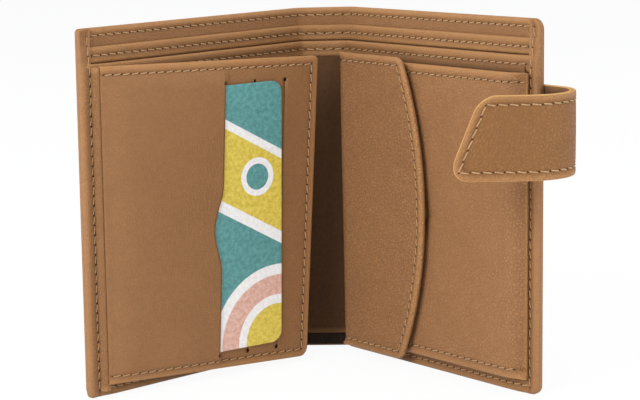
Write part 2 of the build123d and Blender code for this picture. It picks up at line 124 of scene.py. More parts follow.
def wrap_place(side):
    """The same for a layer that starts at the spine's middle and bends at the fold."""
    sign = way[side]
    tangent = fold_radius * math.tan(rest_fold / 2)
    bend_start = spine_half - tangent

    def place(s, z, depth):
        turn = np.clip((s - bend_start) / (2 * tangent), 0, 1) * rest_fold
        radius = fold_radius - squeezed(s - spine_half, depth)
        before = np.minimum(s - bend_start, 0)
        after = np.maximum(s - bend_start - 2 * tangent, 0)
        x = bend_start + radius * np.sin(turn) + before + after * math.cos(rest_fold)
        y = -fold_radius + radius * np.cos(turn) - after * math.sin(rest_fold)
        return np.stack((sign * x, y, z), axis=1)

    return place


def spot(place, u, z, depth):
    """One point of a place."""
    return place(np.array([u]), np.array([z]), np.array([depth]))[0]


left_place, right_place = half_place("left"), half_place("right")
print("left fore-edge stands at", spot(left_place, half_width, 0.0, 0.0).round(1))

# %% Place points on the card wing
wing_root = np.array(joints["wing_turn"]["pos_m"]) / mm
wing_foot = 4.2
wing_near, wing_far, wing_tall = 0.2, 77.0, 99.2
wing_x = -np.array(joints["card_slide"]["axis"])
wing_out = np.cross(wing_x, up)
wing_out = wing_out / np.linalg.norm(wing_out)
wing_y = np.cross(wing_out, wing_x)
wing_lean = abs(wing_x[2] / math.hypot(wing_x[0], wing_x[1]))
drawn_out, pulled_in = 11, 0.034


def wing_place(x, y, t):
    """Points of the wing from its own distances, heights and thicknesses. The wing hangs a
    little askew, so its left edge is drawn out to the upright fold and its foot is pulled in."""
    askew = wing_lean * y * (1 - rising(x, 0, drawn_out)) + pulled_in * x * (1 - y / wing_tall)
    origin = wing_root + wing_foot * up
    return origin + np.outer(x - askew, wing_x) + np.outer(y, wing_y) + np.outer(t, wing_out)


print("wing root", wing_root.round(1))

# %% Place points along the strap
strap_root = np.array(joints["strap_turn"]["pos_m"]) / mm
strap_straight = 5.2
strap_curl = 12.2
strap_limb = 24.6
strap_turn = math.pi - rest_fold
strap_foot = 70.2
strap_width = 25.0
curl_length = strap_curl * strap_turn
strap_length = strap_straight + curl_length + strap_limb


def strap_place(s, z, out):
    """Points of the strap from the distance past its root, the height and how far outside."""
    along = np.array((math.cos(rest_fold), -math.sin(rest_fold), 0))
    inward = np.array((-math.sin(rest_fold), -math.cos(rest_fold), 0))
    turn = np.clip((s - strap_straight) / curl_length, 0, 1) * strap_turn
    radius = strap_curl + out
    before = np.minimum(s - strap_straight, 0)
    after = np.maximum(s - strap_straight - curl_length, 0)
    u = strap_straight + before + radius * np.sin(turn) + after * math.cos(strap_turn)
    depth = strap_curl - radius * np.cos(turn) + after * math.sin(strap_turn)
    return strap_root + np.outer(u, along) + np.outer(z, up) + np.outer(depth, inward)


print("strap length", round(strap_length, 1))

# %% [markdown]
# ## Shader sums
# Materials are written as sums. A small class wraps a socket, so that + - and * add Math nodes,
# and one method adds any other node from its settings and its sockets' values.


# %% Wrap sockets so that they can be added and multiplied
class Value:
    """A socket that takes part in sums."""

    def __init__(self, tree, socket):
        self.tree = tree
        self.socket = socket

    def sum_with(self, operation, other, turned=False):
        node = self.tree.nodes.new("ShaderNodeMath")
        node.operation = operation
        for slot, item in enumerate((other, self) if turned else (self, other)):
            if isinstance(item, Value):
                self.tree.links.new(item.socket, node.inputs[slot])
            else:
                node.inputs[slot].default_value = item
        return Value(self.tree, node.outputs[0])

    def __add__(self, other):
        return self.sum_with("ADD", other)

    def __sub__(self, other):
        return self.sum_with("SUBTRACT", other)

    def __rsub__(self, other):
        return self.sum_with("SUBTRACT", other, turned=True)

    def __mul__(self, other):
        return self.sum_with("MULTIPLY", other)

    __radd__ = __add__
    __rmul__ = __mul__

    def beside(self, output):
        """Another output of the same node."""
        return Value(self.tree, self.socket.node.outputs[output])


# %% Describe a finish by its nodes
class Finish:
    """A material: its shader's fixed values, and the nodes behind the ones that vary."""

    def __init__(self, name, **fixed):
        self.material = bpy.data.materials.new(name)
        self.material.use_nodes = True
        self.tree = self.material.node_tree
        self.shader = self.tree.nodes["Principled BSDF"]
        self.end(**fixed)

    def give(self, socket, value):
        """Links a value to a socket, or sets it there."""
        if isinstance(value, Value):
            self.tree.links.new(value.socket, socket)
        elif isinstance(value, tuple) and len(value) == 3 and socket.type == "RGBA":
            socket.default_value = (*value, 1)
        else:
            socket.default_value = value

    def node(self, kind, settings=None, output=0, **sockets):
        """Adds a node with its settings, and gives its sockets their values by name or place."""
        node = self.tree.nodes.new("ShaderNode" + kind)
        for setting, value in (settings or {}).items():
            setattr(node, setting, value)
        for socket, value in sockets.items():
            name = socket.replace("_", " ")
            self.give(node.inputs[int(name[1:]) if name[1:].isdigit() else name], value)
        return Value(self.tree, node.outputs[output])

    def mix(self, factor, first, second):
        """Mixes two colours."""
        settings = {"data_type": "RGBA", "clamp_factor": True}
        return self.node("Mix", settings, output=2, i0=factor, i6=first, i7=second)

    def between(self, value, low, high, to_low=0.0, to_high=1.0):
        """Maps a span of a value smoothly onto another span."""
        spans = dict(i0=value, i1=low, i2=high, i3=to_low, i4=to_high)
        return self.node("MapRange", {"interpolation_type": "SMOOTHSTEP"}, **spans)

    def layout(self, across=1.0, upwards=1.0):
        """The sheet's own flat coordinates, in units of 10 mm, stretched where asked."""
        flat = self.node("UVMap", {"uv_map": "flat"})
        settings = {"operation": "MULTIPLY"}
        return self.node("VectorMath", settings, i0=flat, i1=(across, upwards, 1.0))

    def noise(self, where, scale, detail=2.0, rough=0.5):
        return self.node("TexNoise", Vector=where, Scale=scale, Detail=detail, Roughness=rough)

    def bump(self, height, distance, strength):
        return self.node("Bump", Height=height, Distance=distance, Strength=strength)

    def end(self, **sockets):
        """Gives the shader its values, and gives back the material."""
        for socket, value in sockets.items():
            self.give(self.shader.inputs[socket.replace("_", " ")], value)
        return self.material


# %% [markdown]
# ## Leather
# Grained calf is a net of shallow creases round soft pebbles about a millimetre across. Its dye
# lies a little darker in the creases, and where the leather is turned over an edge it stretches,
# pales and shines, and its colour is made paler still there as a painted highlight on the roll.
# The grain could be sculpted, but it is finer than any mesh here, so it is cell noise in the
# bump.
# Each sheet carries its distance to the edge and to the nearest seam, so that the material knows
# where to paint that highlight and where to paint shade in the seam's groove.


# %% Make the leathers
def leather(name, tone, edge_tone, crease_and_shade_tone, grain=1.0, rough=0.5, streak=1.0, pebbles=13.0):
    finish = Finish(name, IOR=1.45, Specular_IOR_Level=0.32)
    flat = finish.layout(streak)
    drift = finish.noise(flat, 0.9, 3.0)
    mottle = finish.noise(flat, 5.0, 4.0, 0.6)
    fine = finish.noise(flat, 38.0, 3.0, 0.65)
    bent = finish.node("TexNoise", output=1, Vector=flat, Scale=9.0, Detail=2.0)
    settings = {"operation": "MULTIPLY_ADD"}
    shifted = finish.node("VectorMath", settings, i0=bent, i1=(0.05, 0.05, 0), i2=flat)
    settings = {"feature": "DISTANCE_TO_EDGE"}
    cells = finish.node("TexVoronoi", settings, Vector=shifted, Scale=pebbles)
    creases = finish.between(cells, 0.02, 0.2, 1.0, 0.0)
    edge = finish.node("Attribute", {"attribute_name": "edge"}, output=2)
    seam = finish.node("Attribute", {"attribute_name": "seam"}, output=2)
    turned = finish.between(edge, 0.5, 2.4, 1.0, 0.0)
    seam_groove_shade = finish.between(seam, 0.1, 0.9, 1.0, 0.0)
    body = finish.mix(creases * 0.34 * grain, tone, crease_and_shade_tone)
    body = finish.mix(finish.between(drift, 0.3, 0.7) * 0.16, body, crease_and_shade_tone)
    body = finish.mix(finish.between(mottle, 0.35, 0.7) * 0.12, body, edge_tone)
    body = finish.mix(finish.between(fine, 0.4, 0.75) * 0.26, body, crease_and_shade_tone)
    # paler towards a turned edge: partly the stretched leather's own tone, partly a painted
    # highlight on the rolled edge
    body = finish.mix(turned * (0.5 + 0.5 * mottle), body, edge_tone)
    # painted shade: darker along the groove that the seam presses in
    body = finish.mix(seam_groove_shade * 0.5, body, crease_and_shade_tone)
    height = (1 - creases) * 0.8 * grain + fine * 0.45 * grain + mottle * 0.35
    normal = finish.bump(height, 0.0003, 0.7)
    shine = rough + 0.12 * creases - 0.1 * turned + 0.08 * fine
    return finish.end(Base_Color=body, Roughness=shine, Normal=normal)


tan_pale_and_highlight = (0.41, 0.2, 0.074)
tan_crease_and_shade = (0.175, 0.076, 0.027)
tones = {
    "cover": ((0.31, 0.148, 0.062), tan_pale_and_highlight),
    "edge": ((0.262, 0.125, 0.049), (0.345, 0.167, 0.064)),
    "inner": ((0.345, 0.166, 0.067), tan_pale_and_highlight),
    "flap": ((0.345, 0.164, 0.066), tan_pale_and_highlight),
    "hem": ((0.28, 0.135, 0.051), (0.39, 0.193, 0.072)),
    # painted shade: the wing's leather is the inner tan, darkened for its side turned away from
    # the key lamp
    "wing": ((0.277, 0.132, 0.0505), tan_pale_and_highlight),
    "strap": ((0.265, 0.116, 0.0305), tan_pale_and_highlight),
}
grains = {
    "cover": {},
    "edge": dict(grain=0.6),
    "inner": dict(grain=1.1, pebbles=10.5),
    "flap": dict(grain=1.6, pebbles=10.0),
    "hem": dict(grain=0.9),
    "wing": dict(grain=0.5, pebbles=11.0),
    "strap": dict(grain=1.3, rough=0.44, streak=1.5, pebbles=7.5),
}
leathers = {
    kind: leather(kind + "_leather", *pair, tan_crease_and_shade, **grains[kind])
    for kind, pair in tones.items()
}
print("leathers:", sorted(leathers))

# %% [markdown]
# The lining is a dark split leather with a nap brushed upwards, so its noise is drawn out along
# the height, and it has hardly any shine. The strap's raw edge shows pale fibre, and the thread
# is waxed, with darker spots where it has picked up dye.


# %% Make the suede, raw edge, thread and needle holes
def suede(name, dark, light):
    finish = Finish(name, IOR=1.4, Sheen_Weight=0.15, Sheen_Roughness=0.4)
    streaks = finish.noise(finish.layout(5.0, 0.45), 3.0, 4.0, 0.6)
    nap = finish.noise(finish.layout(3.0, 1.0), 20.0, 3.0, 0.7)
    tone = finish.mix(finish.between(streaks, 0.35, 0.75), dark, light)
    tone = finish.mix(finish.between(nap, 0.4, 0.8) * 0.5, tone, dark)
    normal = finish.bump(streaks * 0.7 + nap * 0.5, 0.0003, 0.5)
    return finish.end(Base_Color=tone, Roughness=0.82 + 0.12 * nap, Normal=normal)


def raw_edge():
    finish = Finish("raw_edge_leather", IOR=1.4)
    fibre = finish.noise(finish.layout(2.0, 2.0), 24.0, 4.0, 0.7)
    tone = finish.mix(finish.between(fibre, 0.3, 0.75), (0.62, 0.36, 0.13), (0.36, 0.18, 0.06))
    return finish.end(Base_Color=tone, Roughness=0.75, Normal=finish.bump(fibre, 0.0002, 0.6))


def thread():
    finish = Finish("waxed_thread", IOR=1.48, Sheen_Weight=0.2)
    fibre = finish.noise(finish.node("TexCoord", output=3), 2600.0, 3.0, 0.6)
    tone = finish.mix(finish.between(fibre, 0.35, 0.7), (0.34, 0.19, 0.08), (0.54, 0.33, 0.145))
    return finish.end(Base_Color=tone, Roughness=0.6 + 0.2 * fibre)


def needle_hole():
    finish = Finish("needle_hole", IOR=1.3)
    hole_shade_noise = finish.noise(finish.node("TexCoord", output=3), 900.0)
    # near black: painted shade inside each needle hole
    tone = finish.mix(hole_shade_noise, (0.02, 0.01, 0.004), (0.07, 0.033, 0.014))
    return finish.end(Base_Color=tone, Roughness=0.9)


# painted shade: the dividers, the coin pocket's inner leathers and the strap's lining are tan
# leather lying in deep shade, so they are given this dark brown
divider_shade_tones = (0.115, 0.053, 0.02), (0.25, 0.12, 0.046), (0.06, 0.026, 0.009)
materials = {
    "suede": suede("lining_suede", (0.02, 0.0095, 0.004), (0.05, 0.025, 0.011)),
    "divider": leather("divider_leather", *divider_shade_tones, grain=0.9, rough=0.7, streak=2.2),
    "raw": raw_edge(),
    "thread": thread(),
    "hole": needle_hole(),
}
print("other finishes:", sorted(materials))

# %% [markdown]
# ## Sheets with rolled edges
# One class makes every flat piece. A grid over a rounded rectangle is drawn close together at
# the edges, so the edge can be rolled, a seam can be pulled in and the leather between seams can
# swell. Squares at the corners are pressed onto quarter discs. The height at each point follows
# from its distance to the edge, which also tells the thread where the surface is. A simulation
# could puff the leather, but it wouldn't know where the thread goes.

# %% Space the grid lines
rolled_steps = (0, 0.06, 0.18, 0.36, 0.6, 0.9, 1.3, 1.8, 2.2, 2.45, 2.7, 2.95, 3.3, 4.0, 5.2, 7.0)
plain_from, plain_to, too_near = 7, 6, 0.12


def grid_lines(span, rolled_low, rolled_high, extra=(), step=3.0):
    """Distances over a span, close together beside a rolled edge."""
    low, high = span
    lines = {low, high, *map(float, np.arange(low + plain_from, high - plain_to, step))}
    for step_in in rolled_steps:
        if rolled_low and low + step_in < (low + high) / 2:
            lines.add(low + step_in)
        if rolled_high and high - step_in > (low + high) / 2:
            lines.add(high - step_in)
    wanted = sorted(set(extra))
    kept = [at for at in sorted(lines) if all(abs(at - other) > too_near for other in wanted)]
    return np.array(sorted(kept + wanted))


def grid_faces(wide, tall):
    """The squares of a grid whose points run along its rows."""
    starts = [row * wide + column for row in range(tall - 1) for column in range(wide - 1)]
    return [(a, a + 1, a + wide + 1, a + wide) for a in starts]


def grid_rim(wide, tall):
    """The points round a grid's rim, in order."""
    rim = list(range(wide)) + [row * wide + wide - 1 for row in range(1, tall)]
    rim += [(tall - 1) * wide + column for column in range(wide - 2, -1, -1)]
    return rim + [row * wide for row in range(tall - 2, 0, -1)]


print("lines over a 40 mm sheet:", len(grid_lines((0, 40), True, True)))

# %% [markdown]
# The open wallet leans a little to its right, as soft things do. Each piece takes its own part
# of the grain, because neighbours with the same pebbles would look stamped.

# %% Turn arrays into an object
leaning = 0.016


def layout_offset(name):
    """Moves a piece to its own part of the grain. A left piece and its right twin share one, so
    that it runs on across the spine, and the printed card keeps its middle."""
    if name == "plain_card":
        return np.zeros(2)
    seed = sum(map(ord, name.removeprefix("left_").removeprefix("right_")))
    return np.array((seed * 3.71 % 19, seed * 2.33 % 17))


def build(name, verts, faces, finish, layout=None, marks=None):
    """An object from points in millimetres, with its flat layout and marks per point."""
    mesh = bpy.data.meshes.new(name)
    verts = np.array(verts, float)
    verts[:, 0] += leaning * (verts[:, 2] - cover_height)
    mesh.from_pydata((verts * mm).tolist(), [], faces)
    if layout is not None:
        where = np.zeros(len(mesh.loops), np.int32)
        mesh.loops.foreach_get("vertex_index", where)
        uv = (np.asarray(layout)[where] + layout_offset(name)).astype(np.float32)
        mesh.uv_layers.new(name="flat").data.foreach_set("uv", uv.ravel())
    for mark, values in (marks or {}).items():
        attribute = mesh.attributes.new(mark, "FLOAT", "POINT")
        attribute.data.foreach_set("value", np.asarray(values, np.float32))
    working = bmesh.new()
    working.from_mesh(mesh)
    bmesh.ops.recalc_face_normals(working, faces=working.faces)
    working.to_mesh(mesh)
    working.free()
    mesh.polygons.foreach_set("use_smooth", [True] * len(mesh.polygons))
    mesh.materials.append(finish)
    piece = bpy.data.objects.new(name, mesh)
    bpy.context.scene.collection.objects.link(piece)
    print(name, "has", len(faces), "faces")
    return piece


# %% Make a sheet
layout_unit = 10  # the layout counts in units of 10 mm
back_shift = 37.3  # the back takes another part of the grain


class Sheet:
    """A soft sheet over a rounded rectangle of its place. It is given its place, across,
    upright, depth and thick, and whatever of these differs."""

    corners = (0, 0, 0, 0)  # low-low, high-low, high-high, low-high
    rolled = "lrbt"  # left, right, bottom, top sides
    sewn = ""
    seam_in = seam_in
    roll, bead, puff = 0.8, 0.12, 0.1
    rim_share = 0.12  # how thick the rim is, as a share of the sheet
    groove_deep, groove_wide = 0.17, 0.42
    bead_at, bead_wide = 0.5, 0.36  # shares of the way from the edge to the seam
    puff_run, lift_run, raw_reach = 5.0, 1.2, 0.3
    lift = shift = raw_rim = None
    extra_u = extra_z = ()
    turned_over = 1  # -1 where the layout runs to the left

    def __init__(self, **shape):
        vars(self).update(shape)

    def inset(self, u, z, which):
        """Distance to the nearest of some sides, round the corners that they share."""
        (u0, u1), (z0, z1) = self.across, self.upright
        sides = {"l": u - u0, "r": u1 - u, "b": z - z0, "t": z1 - z}
        away = np.full(len(u), 99.0)
        for side in which:
            away = np.minimum(away, sides[side])
        for (h, v), radius in zip(("lb", "rb", "rt", "lt"), self.corners):
            if radius and h in which and v in which:
                a, b = radius - sides[h], radius - sides[v]
                inside = (a > 0) & (b > 0)
                away = np.where(inside, radius - np.hypot(a, b), away)
        return np.maximum(away, 0)

    def press_corners(self, u, z):
        """Moves the grid's square corners onto quarter discs."""
        (u0, u1), (z0, z1) = self.across, self.upright
        ends = ((u0, z0, 1, 1), (u1, z0, -1, 1), (u1, z1, -1, -1), (u0, z1, 1, -1))
        for (cu, cz, su, sz), radius in zip(ends, self.corners):
            if not radius:
                continue
            x = 1 - (u - cu) * su / radius
            y = 1 - (z - cz) * sz / radius
            inside = (x > 0) & (y > 0)
            new_x = x * np.sqrt(np.maximum(1 - y * y / 2, 0))
            new_y = y * np.sqrt(np.maximum(1 - x * x / 2, 0))
            u = np.where(inside, cu + su * radius * (1 - new_x), u)
            z = np.where(inside, cz + sz * radius * (1 - new_y), z)
        return u, z

    def face(self, u, z, front=True):
        """The depth of the front or the back face at points of the sheet."""
        edge = self.inset(u, z, self.rolled)
        swell = self.rim_share + (1 - self.rim_share) * quarter_round(edge / self.roll)
        half = self.thick / 2 * swell
        height = self.depth + self.thick / 2 + (half if front else -half)
        if front and self.sewn:
            seam = self.inset(u, z, self.sewn)
            off = np.abs(seam - self.seam_in)
            beside = (seam - self.seam_in * self.bead_at) / (self.seam_in * self.bead_wide)
            past = np.clip(seam - self.seam_in, 0, None)
            height = height - self.groove_deep * np.exp(-((off / self.groove_wide) ** 2))
            height = height + self.bead * np.exp(-(beside**2))
            height = height + self.puff * (1 - np.exp(-past / self.puff_run))
        if self.lift is not None:
            height = height + self.lift(u, z, front) * np.clip(edge / self.lift_run, 0, 1)
        return height

    def points(self, u, z, front=True, proud=0.0):
        """World points on a face, in millimetres."""
        depth = self.face(u, z, front) + proud
        if self.shift is not None:
            u, z = self.shift(u, z)
        return self.place(u, z, depth)

    def make(self, name, finish):
        """Builds the mesh: two faces joined round the rim."""
        us = grid_lines(self.across, "l" in self.rolled, "r" in self.rolled, self.extra_u)
        zs = grid_lines(self.upright, "b" in self.rolled, "t" in self.rolled, self.extra_z)
        wide, tall, count = len(us), len(zs), len(us) * len(zs)
        grid_u, grid_z = (grid.ravel() for grid in np.meshgrid(us, zs))
        u, z = self.press_corners(grid_u, grid_z)
        verts = np.concatenate((self.points(u, z, True), self.points(u, z, False)))
        quads = []
        for quad in grid_faces(wide, tall):
            quads += [quad, tuple(corner + count for corner in reversed(quad))]
        ends = {"l": grid_u == us[0], "r": grid_u == us[-1]}
        ends.update({"b": grid_z == zs[0], "t": grid_z == zs[-1]})
        open_sides = [ends[side] for side in "lrbt" if side not in self.rolled]
        rim = grid_rim(wide, tall)
        for a, b in zip(rim, rim[1:] + rim[:1]):
            if not any(side[a] and side[b] for side in open_sides):
                quads.append((b, a, a + count, b + count))
        flat = np.stack((u * self.turned_over, z), axis=1)
        layout = np.concatenate((flat, flat + back_shift)) / layout_unit
        edge = np.tile(self.inset(u, z, self.rolled), 2)
        seam = np.full(2 * count, 9.0)
        if self.sewn:
            seam[:count] = np.abs(self.inset(u, z, self.sewn) - self.seam_in)
        piece = build(name, verts, quads, finish, layout, {"edge": edge, "seam": seam})
        if self.raw_rim:
            piece.data.materials.append(self.raw_rim)
            for face in piece.data.polygons:
                reach = max(edge[vertex] for vertex in face.vertices)
                face.material_index = int(reach < self.raw_reach)
        return piece


# %% Fasten pieces to the frame
def riding(body):
    """What fastens a piece to one body."""
    return lambda piece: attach(piece, body)


def bending(start, end):
    """Bakes a piece's place into its mesh; start and end, in millimetres, are not used."""
    start, end = tuple(start * mm), tuple(end * mm)
    return lambda piece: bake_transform(piece)


def settle(piece, nodes, fasten):
    """Hides the solids that a piece stands for, and fastens it."""
    if nodes:
        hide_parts(*nodes)
    fasten(piece)


def add_sheet(name, finish, slot, nodes, fasten, **shape):
    """Makes a sheet with its piece, and gives it back for its thread to lie on."""
    sheet = Sheet(**shape)
    sheet.piece = sheet.make(name, finish)
    settle(sheet.piece, nodes, fasten)
    return sheet


# %% [markdown]
# ## Thread
# A machine seam is a row of short slanted stitches that dive into needle holes. A dashed line in
# the material would look right only from afar. Each stitch is a small swept tube here, lying on
# the sheet that it sews, and each hole is a dimple painted dark, as painted shade in the hole.


# %% Walk along a seam
def walk(sheet, corners, pitch, front):
    """Evenly spaced points of a sheet along a line of corners, with one at each corner."""
    spots = []
    for start, end in zip(np.array(corners[:-1], float), np.array(corners[1:], float)):
        share = np.linspace(0, 1, 120)
        line = start + np.outer(share, end - start)
        points = sheet.points(line[:, 0], line[:, 1], front)
        steps = np.linalg.norm(np.diff(points, axis=0), axis=1)
        reach = np.concatenate(((0,), np.cumsum(steps)))
        count = max(1, int(round(reach[-1] / pitch)))
        at = np.interp(np.linspace(0, reach[-1], count + 1), reach, share)
        spots.append((start + np.outer(at, end - start))[:-1])
    return np.concatenate((*spots, [corners[-1]]))


def seam_corners(sheet, sides, away=None, trim=0.0):
    """The corners of a seam that runs beside some sides of a sheet, in order."""
    away = sheet.seam_in if away is None else away
    (u0, u1), (z0, z1) = sheet.across, sheet.upright
    low_u = u0 + (away if "l" in sides else trim)
    high_u = u1 - (away if "r" in sides else trim)
    low_z = z0 + (away if "b" in sides else trim)
    high_z = z1 - (away if "t" in sides else trim)
    runs = {
        "b": ((low_u, low_z), (high_u, low_z)),
        "r": ((high_u, low_z), (high_u, high_z)),
        "t": ((high_u, high_z), (low_u, high_z)),
        "l": ((low_u, high_z), (low_u, low_z)),
    }
    corners = []
    for side in sides:
        corners += [corner for corner in runs[side] if corners[-1:] != [corner]]
    return corners


def unit(vectors):
    """Vectors made 1 long, row by row."""
    return vectors / np.linalg.norm(vectors, axis=1)[:, None]


# %% Sew a line of stitches
class Thread:
    """All the stitches that move together."""

    ring, hole_ring = 6, 8
    stations = (0.06, 0.2, 0.5, 0.8, 0.94)  # shares of the way from hole to hole
    swells = (0.5, 1.0, 1.08, 1.0, 0.5)
    lifts = (-0.1, 0.1, 0.2, 0.1, -0.1)
    slant, flatness, hole_radius = 0.24, 0.8, 0.34

    def __init__(self, name, radius=0.175):
        self.name, self.radius = name, radius
        self.verts, self.faces, self.holes, self.hole_faces = [], [], [], []

    def sew(self, sheet, corners, pitch=stitch_pitch, front=True, sink=0.0):
        """Lays a row of stitches on a sheet, along a line of corners."""
        spots = walk(sheet, corners, pitch, front)
        start, step = spots[:-1], np.diff(spots, axis=0)
        side = np.stack((-step[:, 1], step[:, 0]), 1)
        side = side / np.maximum(np.hypot(*side.T), 1e-9)[:, None]
        sign = 1 if front else -1
        lines = []
        for share, lift in zip(self.stations, self.lifts):
            at = start + step * share + side * self.slant * (share - 0.5) * 2
            lines.append(sheet.points(at[:, 0], at[:, 1], front, sign * (lift - sink)))
        lines = np.array(lines)
        u, z = (start + step * 0.5).T
        normal = unit(sheet.points(u, z, front, sign) - sheet.points(u, z, front))
        across = np.cross(unit(lines[-1] - lines[0]), normal)
        for number in range(len(start)):
            self.add_stitch(lines[:, number], across[number], normal[number])
        self.punch(sheet, spots, front)

    def add_stitch(self, line, across, normal):
        """Sweeps one tube along a line of stations, and closes its ends."""
        first, ring = len(self.verts), self.ring
        for station, swell in enumerate(self.swells):
            for corner in range(ring):
                angle = 2 * math.pi * corner / ring
                out = across * math.cos(angle) + normal * math.sin(angle) * self.flatness
                self.verts.append(line[station] + out * self.radius * swell)
                if station:
                    a = first + station * ring + corner
                    b = first + station * ring + (corner + 1) % ring
                    self.faces.append((a - ring, b - ring, b, a))
        last = first + ring * (len(self.stations) - 1)
        self.faces.append(tuple(first + corner for corner in range(ring)))
        self.faces.append(tuple(last + corner for corner in reversed(range(ring))))

    def punch(self, sheet, spots, front):
        """Adds a dimple at each needle hole, painted dark as the shade in the hole."""
        ring = self.hole_ring
        u, z = spots.T
        sign = 1 if front else -1
        middle = sheet.points(u, z, front, 0.05 * sign)
        rings = []
        for angle in (2 * math.pi * corner / ring for corner in range(ring)):
            at_u = u + self.hole_radius * math.cos(angle)
            at_z = z + self.hole_radius * self.flatness * math.sin(angle)
            rings.append(sheet.points(at_u, at_z, front, 0.02 * sign))
        for number in range(len(spots)):
            base = len(self.holes)
            self.holes += [middle[number], *(points[number] for points in rings)]
            for corner in range(ring):
                after = base + 1 + (corner + 1) % ring
                self.hole_faces.append((base, base + 1 + corner, after))

    def make(self, fasten):
        """Builds the stitches and their holes as two pieces, and fastens both."""
        stitches = build(self.name, self.verts, self.faces, materials["thread"])
        holes = build(self.name + "_holes", self.holes, self.hole_faces, materials["hole"])
        fasten(stitches)
        fasten(holes)


# %% [markdown]
# ## Snaps in soft leather
# A snap's cap pulls the leather in round it. The metal stays where the frame has it, so the
# leather is pressed in under it, over a small ring that fades out.


# %% Find where the snaps press
def snap_spot(place, node):
    """Where a snap lies on its half: the distance along it and the height."""
    middle = sum(np.array(corner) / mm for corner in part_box(node)) / 2
    origin = spot(place, 0.0, 0.0, 0.0)
    along = spot(place, 1.0, 0.0, 0.0) - origin
    return float((middle - origin).dot(along)), float(middle[2])


cover_snap = snap_spot(left_place, "cover_snap_stud")
coin_snap = snap_spot(right_place, "coin_snap_socket")
cover_seat, coin_seat = 0.6, 1.3


def snap_seat(s, z, front):
    """Presses the cover in under its snap."""
    away = np.hypot(s - spine_half - cover_snap[0], z - cover_snap[1])
    return (0.0 if front else cover_seat) * (1 - rising(away, 5.0, 10.0))


print("snaps at", np.round(cover_snap, 1), np.round(coin_snap, 1))

# %% [markdown]
# ## The cover and its layers across the spine
# The cover, its lining and the two bill dividers run from one fore-edge over the spine to the
# other. Each is made in two sheets that meet at the spine's middle, because a sheet can bend
# between only two bodies: a half and the spine.

# %% Bend sheets between a half and the spine
fold_reach = 5.0
fold_lines = tuple(np.arange(spine_half - 4.4, spine_half + 4.6, 0.8))
fore = spine_half + half_width
seam_end = fore - 4.7  # the seams across go under the fore-edges here
corner_round = {"left": 1.3, "right": 3.4}


def fold_bending(side):
    """What fixes a piece at a fold where it lies."""
    place = wrap_place(side)
    start = spot(place, spine_half + fold_reach, middle_height, 0.0)
    end = spot(place, spine_half - fold_reach, middle_height, 0.0)
    return bending(start, end)


def add_wrap(name, side, finish, slot, nodes, far, **shape):
    """Makes a sheet that crosses a fold, from the spine's middle, and gives it back."""
    shape = {"rolled": "rbt", "place": wrap_place(side), "across": (0, far), **shape}
    shape.update(extra_u=fold_lines, turned_over=way[side])
    return add_sheet(f"{side}_{name}", finish, slot, nodes, fold_bending(side), **shape)


print("fold lines:", len(fold_lines), "seams end", round(seam_end, 1))

# %% Make the cover, the lining and the dividers
cover_seam, hem_seam, hem_deep, strip_tall = 2.7, 2.4, 6.5, 5.0
divider_tops = {1: 109.3, 2: 104.1}
divider_depths = {1: 1.2, 2: 2.4}
divider_thick = 0.8


def add_cover(side, threads):
    """The cover's outside leather, its top hem and the suede inside it."""
    tip = corner_round[side]
    cover = add_wrap(
        "cover_leather", side, leathers["cover"], "cover_leather",
        (side + "_cover", "spine_cover"), fore,
        upright=(0, cover_height), depth=-0.6, thick=1.0, corners=(0, 3, tip, 0),
        lift=snap_seat if side == "left" else None,
    )
    threads.sew(cover, seam_corners(cover, "brt", cover_seam), front=False)
    hem = add_wrap(
        "cover_turned_hem", side, leathers["hem"], "turned_leather",
        [side + "_cover_hem"], fore - 1.0,
        upright=(cover_height - hem_deep, cover_height), depth=0.2, thick=1.0,
        corners=(0, 0, tip, 0), rolled="rt", sewn="t", bead=0.25, puff=-0.1, seam_in=hem_seam,
    )
    threads.sew(hem, [(0, cover_height - hem_seam), (seam_end, cover_height - hem_seam)])
    add_wrap(
        "suede_lining", side, materials["suede"], "suede_lining",
        (side + "_lining", "spine_lining"), fore - 1.2,
        upright=(0.6, cover_height - 5), depth=0.4, thick=0.45, roll=0.3,
    )


def add_divider(side, number, threads):
    """A bill divider, with the leather strip that is sewn over its top edge."""
    top, depth, name = divider_tops[number], divider_depths[number], f"divider_{number}"
    welts = [f"{side}_{name}_side_welt", f"{side}_{name}_foot_welt"]
    # the panel takes the dark divider leather: painted shade in the gap between the halves
    add_wrap(
        name + "_panel", side, materials["divider"], "inner_leather",
        (f"{side}_{name}", f"{name}_spine", *welts), fore - 0.6,
        upright=(5.0, top - 0.6), depth=depth, thick=divider_thick, roll=0.4,
    )
    strip = add_wrap(
        name + "_hem_strip", side, leathers["hem"], "turned_leather",
        (f"{side}_{name}_hem", f"{name}_spine_hem"), fore - 0.6,
        upright=(top - strip_tall, top), depth=depth - 0.1, thick=divider_thick + 0.55,
        corners=(0, 0, 2.5, 0), sewn="t", bead=0.1, puff=-0.1,
    )
    threads.sew(strip, [(0, top - seam_in), (seam_end, top - seam_in)])


for side in way:
    threads = Thread(side + "_fold_thread")
    add_cover(side, threads)
    for number in divider_tops:
        add_divider(side, number, threads)
    threads.make(fold_bending(side))

# %% [markdown]
# Along the bottom of each half the cover is turned up over the layers and sewn through them. It
# could be the same sheet as the cover, but a fold that tight is easier to round as its own roll.

# %% Turn up the bottom hems
bottom_seam = 2.7
for side in way:
    foot = add_sheet(
        side + "_bottom_hem", leathers["hem"], "turned_leather", [], riding(side + "_half"),
        place=half_place(side), across=(1.0, half_width - 0.6), upright=(0.0, 6.6),
        depth=-0.3, thick=3.8, corners=(0, 2.4, 0, 0), sewn="b", roll=1.3, bead=0.1, puff=0.0,
    )
    threads = Thread(side + "_bottom_thread")
    threads.sew(foot, [(2.5, bottom_seam), (half_width - 3, bottom_seam)])
    threads.make(riding(side + "_half"))

